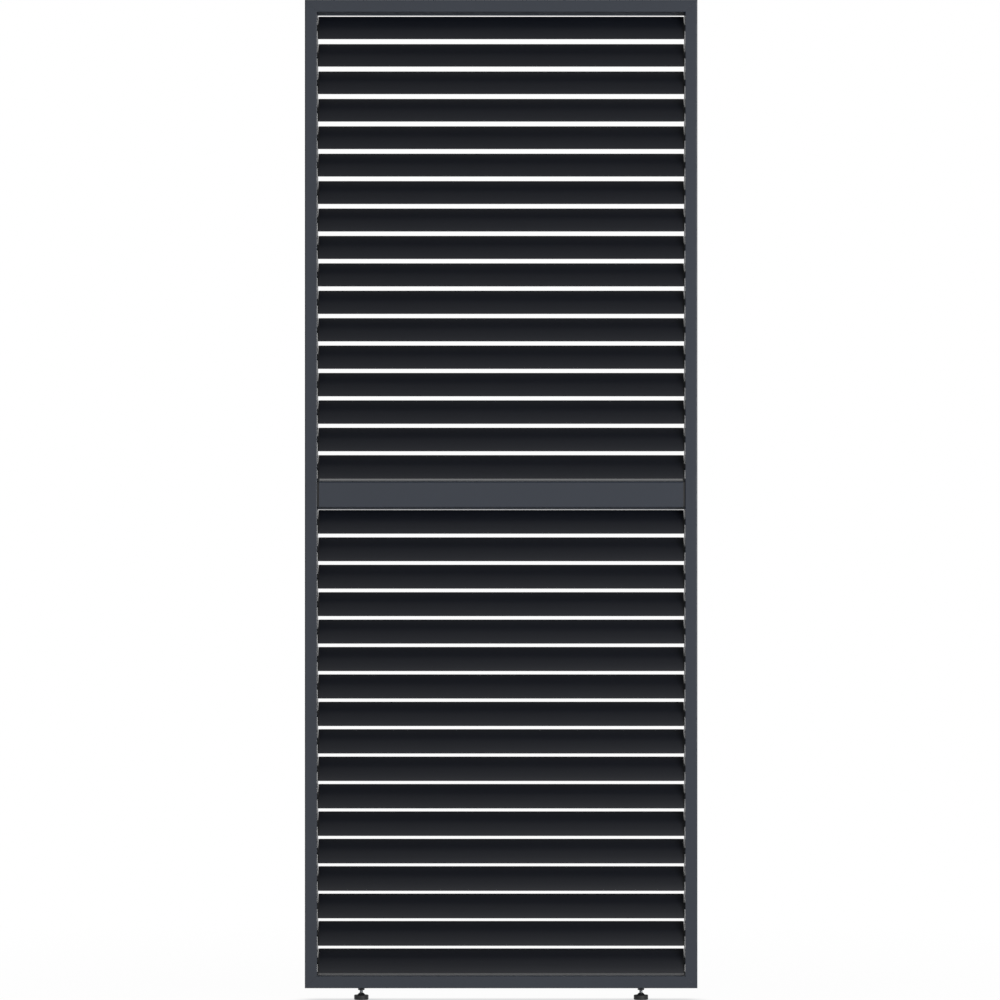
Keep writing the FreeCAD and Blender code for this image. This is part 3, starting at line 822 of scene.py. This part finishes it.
def ends_tree(lens):
    """Both end caps of one slat with their pins, and the crank on the left pin."""
    tree, given = new_tree("slat_ends", {
        **sized(*lens_sizes, "Half Length", "Cap Thickness", "Pin Radius", "Tilt", "Pivot Height"),
        "Finish": "Material",
    })
    joint = add_node(
        tree, "ShaderNodeMath", {0: given["Half Length"], 1: given["Cap Thickness"]}, operation="SUBTRACT"
    )
    run = length_run(tree, joint.outputs[0], given["Half Length"])
    steps = add_node(tree, "GeometryNodeResampleCurve", {"Curve": run, "Count": cap_rings})
    along = add_node(tree, "GeometryNodeSplineParameter", {})
    # The cap sits a hair inside the blade's outline, and its outer rim is eased.
    inside_blade = 0.994
    outer_rim = 0.975
    rim_from = 0.8
    taper = add_node(
        tree, "ShaderNodeMapRange",
        {"Value": along.outputs["Factor"], "From Min": rim_from, "To Min": inside_blade,
         "To Max": outer_rim},
    )
    cap = add_node(
        tree, "GeometryNodeCurveToMesh",
        {"Curve": steps.outputs[0], "Profile Curve": lens_outline(tree, lens, given),
         "Scale": taper.outputs[0], "Fill Caps": True},
    )
    other_cap = add_node(
        tree, "GeometryNodeTransform", {"Geometry": cap.outputs[0], "Rotation": (0.0, math.pi, 0.0)}
    )

    def round_bar(radius, x, z0, z1):
        """A round bar along the slat's length, at this reach from its pivot."""
        bar = add_node(
            tree, "GeometryNodeMeshCylinder", {"Vertices": pin_sides, "Radius": radius, "Depth": z1 - z0}
        )
        return add_node(
            tree, "GeometryNodeTransform",
            {"Geometry": bar.outputs[0], "Translation": (x, 0.0, (z0 + z1) / 2)},
        ).outputs[0]

    right_pin = round_bar(given["Pin Radius"], 0.0, slat_half_length, right_pin_end)
    left_pin = round_bar(given["Pin Radius"], 0.0, -crank_to, -slat_half_length)
    body = add_node(
        tree, "GeometryNodeJoinGeometry",
        {"Geometry": [cap.outputs[0], other_cap.outputs[0], right_pin, left_pin]},
    )
    hub = round_bar(crank_hub_radius, 0.0, -crank_to, -crank_from)
    arm_end = round_bar(crank_arm_width / 2, crank_reach, -crank_to, -crank_arm_from)
    crank_pin = round_bar(crank_pin_radius, crank_reach, -crank_pin_end, -crank_to)
    arm_block = add_node(
        tree, "GeometryNodeMeshCube", {"Size": (crank_reach, crank_arm_width, crank_to - crank_arm_from)}
    )
    arm = add_node(
        tree, "GeometryNodeTransform",
        {"Geometry": arm_block.outputs[0],
         "Translation": (crank_reach / 2, 0.0, -(crank_arm_from + crank_to) / 2)},
    )
    crank = add_node(
        tree, "GeometryNodeJoinGeometry", {"Geometry": [hub, arm_end, crank_pin, arm.outputs[0]]}
    )
    crank_set = add_node(
        tree, "GeometryNodeTransform", {"Geometry": crank.outputs[0], "Rotation": (0.0, 0.0, crank_angle)}
    )
    whole = add_node(
        tree, "GeometryNodeJoinGeometry",
        {"Geometry": [tilted(tree, body.outputs[0], given), crank_set.outputs[0]]},
    )
    stood_on_pivot(tree, whole.outputs[0], given)
    return tree


# The slats have the frame's coat, made duller, and their colour is darker than the frame's as painted
# shade, so that they look nearly black against the light gaps.
slat_roughness = 0.4
slat_line = (600 * MM, 3 * MM, 3 * MM)
slat_coat_painted_shade = powder_coat("anthracite_powder_coat_slats_painted_shade", "#14171F", "#171A22", slat_roughness, slat_line)
lens_shape = lens_tree()
blade_shape = blade_tree(lens_shape)
ends_shape = ends_tree(lens_shape)
slat_sizes = {
    "Chord": slat_chord, "Thickness": slat_thickness, "Tip Radius": slat_tip, "Tilt": slat_tilt,
    "Cap Thickness": cap_thickness, "Pin Radius": pin_radius,
}
for slat_name in slat_names:
    here = {**slat_sizes, "Pivot Height": slat_pivots[slat_name]}
    blade = grown(
        slat_name + "_blade", blade_shape,
        {**here, "Half Length": slat_half_length - cap_thickness, "Finish": slat_coat_painted_shade},
    )
    fitted(eased(blade, 0.0), slat_name, "slat_powder_coat", slat_name)
    ends = grown(
        slat_name + "_ends", ends_shape, {**here, "Half Length": slat_half_length, "Finish": bush_nylon}
    )
    fitted(eased(ends, 0.0), slat_name, "bush_nylon", slat_name)

# Foot studs
# M8 steel studs, zinc plated, with a thread rolled along their whole length. They screw into the inserts
# in the bottom rail, and each carries a pad at its lower end.
stud_radius = 4.0 * MM
thread_pitch = 1.25 * MM
thread_edge = math.radians(75)


def threaded_stud(name, x, z0, z1, radius, pitch, finish):
    """A stud whose thread winds up as one helix, fading out at both ends."""
    around = 24
    rows_in_a_turn = 6
    depth_share = 0.61
    end_chamfer = 0.8 * MM
    rows = int((z1 - z0) / (pitch / rows_in_a_turn))
    depth = depth_share * pitch
    points = [(x, 0.0, z0)]
    for row in range(rows + 1):
        z = z0 + (z1 - z0) * row / rows
        near_end = min(z - z0, z1 - z)
        for k in range(around):
            phase = (z / pitch - k / around) % 1.0
            groove = depth * abs(2 * phase - 1)
            chamfer = max(0.0, end_chamfer - near_end)
            r = min(radius - groove, radius - chamfer)
            angle = 2 * math.pi * k / around
            points.append((x + r * math.cos(angle), r * math.sin(angle), z))
    points.append((x, 0.0, z1))
    faces = []
    for row in range(rows):
        for k in range(around):
            a = 1 + row * around + k
            b = 1 + row * around + (k + 1) % around
            faces.append((a, b, b + around, a + around))
    last = 1 + rows * around
    for k in range(around):
        after = (k + 1) % around
        faces.append((0, 1 + after, 1 + k))
        faces.append((last + k, last + after, len(points) - 1))
    return mesh_piece(name, points, faces, finish)


for side in ("left", "right"):
    stud_low, stud_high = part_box(side + "_foot_stud")
    stud = threaded_stud(
        side + "_foot_stud_thread", (stud_low.x + stud_high.x) / 2, stud_low.z, stud_high.z,
        stud_radius, thread_pitch, zinc_steel,
    )
    stud.data.shade_smooth()
    stud.data.set_sharp_from_angle(angle=thread_edge)
    fitted(stud, side + "_foot_stud", "zinc_plated_steel", side + "_foot_stud")

# Lock nuts
# Thin hexagon nuts, 13 mm across flats, turned chamfers on both faces, blackened steel. They are run
# up against the insert so that a set foot stays where it is.
nut_flats = 13.0 * MM
stud_bore = 4.08 * MM


def hexagon_nut(name, x, z0, z1, across_flats, bore, finish):
    """A nut whose corners are cut by a cone above and below."""
    steps = 72
    chamfer_angle = math.radians(30)
    crown_share = 0.97
    crown = across_flats / 2 * crown_share
    sixth = math.pi / 3
    points = []
    for part in ("bore_low", "crown_low", "edge_low", "edge_high", "crown_high", "bore_high"):
        for k in range(steps):
            angle = 2 * math.pi * k / steps
            off_flat = (angle + sixth / 2) % sixth - sixth / 2
            edge = across_flats / 2 / math.cos(sixth / 2 - abs(off_flat))
            drop = max(0.0, edge - crown) * math.tan(chamfer_angle)
            radius, z = {
                "bore_low": (bore, z0), "crown_low": (crown, z0), "edge_low": (edge, z0 + drop),
                "edge_high": (edge, z1 - drop), "crown_high": (crown, z1), "bore_high": (bore, z1),
            }[part]
            points.append((x + radius * math.cos(angle), radius * math.sin(angle), z))
    faces = []
    rings = len(points) // steps
    for ring in range(rings):
        for k in range(steps):
            a = ring * steps + k
            b = ring * steps + (k + 1) % steps
            c = (ring + 1) % rings * steps + (k + 1) % steps
            d = (ring + 1) % rings * steps + k
            faces.append((a, b, c, d))
    return mesh_piece(name, points, faces, finish)


# Blackened steel is dark, with a dull metal gleam on the chamfers.
nut_grain = (0.8 * MM, 0.8 * MM, 0.8 * MM)
black_steel = bare_metal("blackened_steel", "#3A3B3D", "#2C2D2F", 0.42, nut_grain)
for side in ("left", "right"):
    nut_low, nut_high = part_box(side + "_lock_nut")
    nut = hexagon_nut(
        side + "_lock_nut_hexagon", (nut_low.x + nut_high.x) / 2, nut_low.z, nut_high.z,
        nut_flats, stud_bore, black_steel,
    )
    fitted(eased(nut, 0.0), side + "_lock_nut", "black_steel", side + "_lock_nut")

# Foot pads
# Round moulded nylon pads with a coned boss around the stud and a soft rim. Each is pushed on to the
# lower end of its stud, where it swivels, and has a ring groove underneath.
pad_radius = 16.5 * MM
pad_rim_height = 11.3 * MM
pad_height = 15.8 * MM
pad_boss_foot = 9.4 * MM
pad_boss_top = 5.4 * MM
pad_bore_floor = 3.0 * MM
groove_inner = 8.0 * MM
groove_outer = 15.1 * MM
groove_depth = 1.6 * MM
pad_rim_lift = 0.6 * MM
pad_rim_inner = 15.7 * MM
pad_rim_chamfer = 0.8 * MM
pad_sides = 48
# The same nylon with a coarser grain, which spreads the highlight around the rim.
pad_nylon = moulded("black_nylon_pad", "#1A1A1C", 1.1 * MM, nylon_ior, *nylon_gloss)
# Each corner of the pad's section is given as radius, height and rounding.
pad_section = rounded_outline([
    (groove_inner, 0.0, 0.3 * MM),
    (groove_inner, groove_depth, 0.0),
    (groove_outer, groove_depth, 0.0),
    (groove_outer, pad_rim_lift, 0.15 * MM),
    (pad_rim_inner, pad_rim_lift, 0.15 * MM),
    (pad_radius, pad_rim_lift + pad_rim_chamfer, 0.5 * MM),
    (pad_radius, pad_rim_height, 1.6 * MM),
    (pad_boss_foot, pad_rim_height, 0.8 * MM),
    (pad_boss_top, pad_height, 0.5 * MM),
    (stud_bore, pad_height, 0.2 * MM),
    (stud_bore, pad_bore_floor, 0.0),
])
pad_outline = [(0.0, 0.0)] + [(p.x, p.y) for p in pad_section] + [(0.0, pad_bore_floor)]
for side in ("left", "right"):
    pad_low, pad_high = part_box(side + "_foot_pad")
    pad = turned(side + "_foot_pad_moulding", pad_outline, pad_sides, pad_nylon)
    for vertex in pad.data.vertices:
        vertex.co.x += (pad_low.x + pad_high.x) / 2
    fitted(eased(pad, 0.0), side + "_foot_pad", "pad_plastic", side + "_foot_pad")

# Grips
# Eight segments of black rubber under each pad, cut from sheet and pressed into its groove. They stand a
# little proud of the rim, so the screen stands on them.
grip_count = 8
grip_outer = 15.0 * MM
grip_inner = 9.5 * MM
grip_thickness = 1.6 * MM
grip_half_gap = 0.8 * MM
grip_soft = 0.15 * MM
grip_arc_steps = 8
grip_half_angle = math.pi / grip_count
# Sheet rubber is a flat black with hardly a highlight.
grip_rubber = moulded("black_rubber", "#151515", 1.5 * MM, 1.52, 0.75, 0.9)
grip_spread = grip_half_angle - math.asin(grip_half_gap / grip_outer)
grip_edge = []
for k in range(grip_arc_steps + 1):
    angle = -grip_spread + 2 * grip_spread * k / grip_arc_steps
    grip_edge.append(Vector((grip_outer * math.cos(angle), grip_outer * math.sin(angle))))
grip_near = grip_inner * math.tan(grip_half_angle) - grip_half_gap / math.cos(grip_half_angle)
grip_edge += [Vector((grip_inner, grip_near)), Vector((grip_inner, -grip_near))]
grip_block = extrusion(
    "grip_pattern", grip_edge, lambda p: ((p.x, p.y, 0.0), (p.x, p.y, grip_thickness)), grip_rubber
)
grip_pattern = eased(grip_block, grip_soft)
for side in ("left", "right"):
    grip_low, grip_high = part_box(side + "_foot_grips")
    grips = grown(side + "_foot_grip_ring", set_out, {
        "Piece": grip_pattern, "Count": grip_count, "First": ((grip_low.x + grip_high.x) / 2, 0.0, 0.0),
        "Step": (0.0, 0.0, 0.0), "Turn": 0.0, "Turn Step": 2 * grip_half_angle, "Finish": grip_rubber,
    })
    fitted(eased(grips, 0.0), side + "_foot_pad", "grip_rubber", side + "_foot_grips")
bpy.data.objects.remove(grip_pattern)

# Studio
# A pale floor that fades into a white surround, with one large soft lamp to the front and right. The
# surround is white to the eye; as a light and in reflections it is white in front and behind, and grey
# at the sides and above, as dark flags would make it.
floor_half = 9.0
floor_white_from = 0.4
floor_white_to = 2.6
floor_white_least = 0.97
shadow_reach = 0.05
shadow_deepest = 0.6
closed_in = 0.2
open_floor = 0.95
flag_grey = 0.22
pure_white = (1.0, 1.0, 1.0, 1.0)
# Matt paint, white to the eye and in reflections, and shaded close under the screen where less light gets.
floor_paint, paint_tree, paint = new_finish("pale_studio_floor")
paint.inputs["Base Color"].default_value = linear("#EDEDEC")
paint.inputs["Roughness"].default_value = 0.9
seen = add_node(paint_tree, "ShaderNodeLightPath", {})
seen_or_mirrored = add_node(
    paint_tree, "ShaderNodeMath",
    {0: seen.outputs["Is Camera Ray"], 1: seen.outputs["Is Glossy Ray"]}, operation="MAXIMUM",
)
seen_any = add_node(
    paint_tree, "ShaderNodeMath",
    {0: seen_or_mirrored.outputs[0], 1: seen.outputs["Is Transmission Ray"]}, operation="MAXIMUM",
)
floor_place = add_node(paint_tree, "ShaderNodeTexCoord", {})
floor_reach = add_node(
    paint_tree, "ShaderNodeVectorMath", {0: floor_place.outputs["Object"]}, operation="LENGTH"
)
fade = add_node(
    paint_tree, "ShaderNodeMapRange",
    {"Value": floor_reach.outputs["Value"], "From Min": floor_white_from, "From Max": floor_white_to,
     "To Min": floor_white_least, "To Max": 1.0},
)
share = add_node(
    paint_tree, "ShaderNodeMath", {0: fade.outputs[0], 1: seen_any.outputs[0]}, operation="MULTIPLY"
)
near_shade = add_node(paint_tree, "ShaderNodeAmbientOcclusion", {"Distance": shadow_reach}, samples=16)
contact = add_node(
    paint_tree, "ShaderNodeMapRange",
    {"Value": near_shade.outputs["AO"], "From Min": closed_in, "From Max": open_floor,
     "To Min": shadow_deepest, "To Max": 1.0},
)
white = add_node(
    paint_tree, "ShaderNodeEmission", {"Color": pure_white, "Strength": contact.outputs[0]}
)
mixed = add_node(
    paint_tree, "ShaderNodeMixShader",
    {0: share.outputs[0], 1: paint.outputs[0], 2: white.outputs[0]},
)
paint_tree.links.new(mixed.outputs[0], paint_tree.nodes["Material Output"].inputs["Surface"])
floor_corners = [(x * floor_half, y * floor_half, 0) for x, y in ((-1, -1), (1, -1), (1, 1), (-1, 1))]
floor = mesh_piece("studio_floor", floor_corners, [(0, 1, 2, 3)], floor_paint)

surround = bpy.data.worlds.new("white_surround")
surround.use_nodes = True
bpy.context.scene.world = surround
sky_tree = surround.node_tree
sky = sky_tree.nodes["Background"]
sky.inputs["Color"].default_value = pure_white
ray = add_node(sky_tree, "ShaderNodeLightPath", {})
seen_sky = add_node(
    sky_tree, "ShaderNodeMath",
    {0: ray.outputs["Is Camera Ray"], 1: ray.outputs["Is Transmission Ray"]}, operation="MAXIMUM",
)
sky_place = add_node(sky_tree, "ShaderNodeTexCoord", {})
sky_way = add_node(sky_tree, "ShaderNodeSeparateXYZ", {0: sky_place.outputs["Generated"]})
# Y is -1 straight in front of the screen and 1 straight behind it. The front wall comes first.
walls = []
for grey_from, white_from in ((-0.7, -0.98), (0.3, 0.7)):
    walls.append(add_node(
        sky_tree, "ShaderNodeMapRange",
        {"Value": sky_way.outputs["Y"], "From Min": grey_from, "From Max": white_from,
         "To Min": flag_grey, "To Max": 1.0},
    ).outputs[0])
both_walls = add_node(sky_tree, "ShaderNodeMath", {0: walls[0], 1: walls[1]}, operation="MAXIMUM")
level = add_node(
    sky_tree, "ShaderNodeMath", {0: seen_sky.outputs[0], 1: both_walls.outputs[0]}, operation="MAXIMUM"
)
sky_tree.links.new(level.outputs[0], sky.inputs["Strength"])

lamp_data = bpy.data.lights.new("soft_lamp", "AREA")
lamp_data.shape = "RECTANGLE"
lamp_data.size = 2.4
lamp_data.size_y = 2.5
lamp_data.energy = 168.0
lamp_aim = Vector((0.0, 0.0, 1.1))
soft_lamp = bpy.data.objects.new("soft_lamp", lamp_data)
soft_lamp.location = (3.4, -5.6, 1.7)
soft_lamp.rotation_euler = (lamp_aim - soft_lamp.location).to_track_quat("-Z", "Y").to_euler()
bpy.context.scene.collection.objects.link(soft_lamp)

bpy.context.scene.view_settings.view_transform = "Standard"
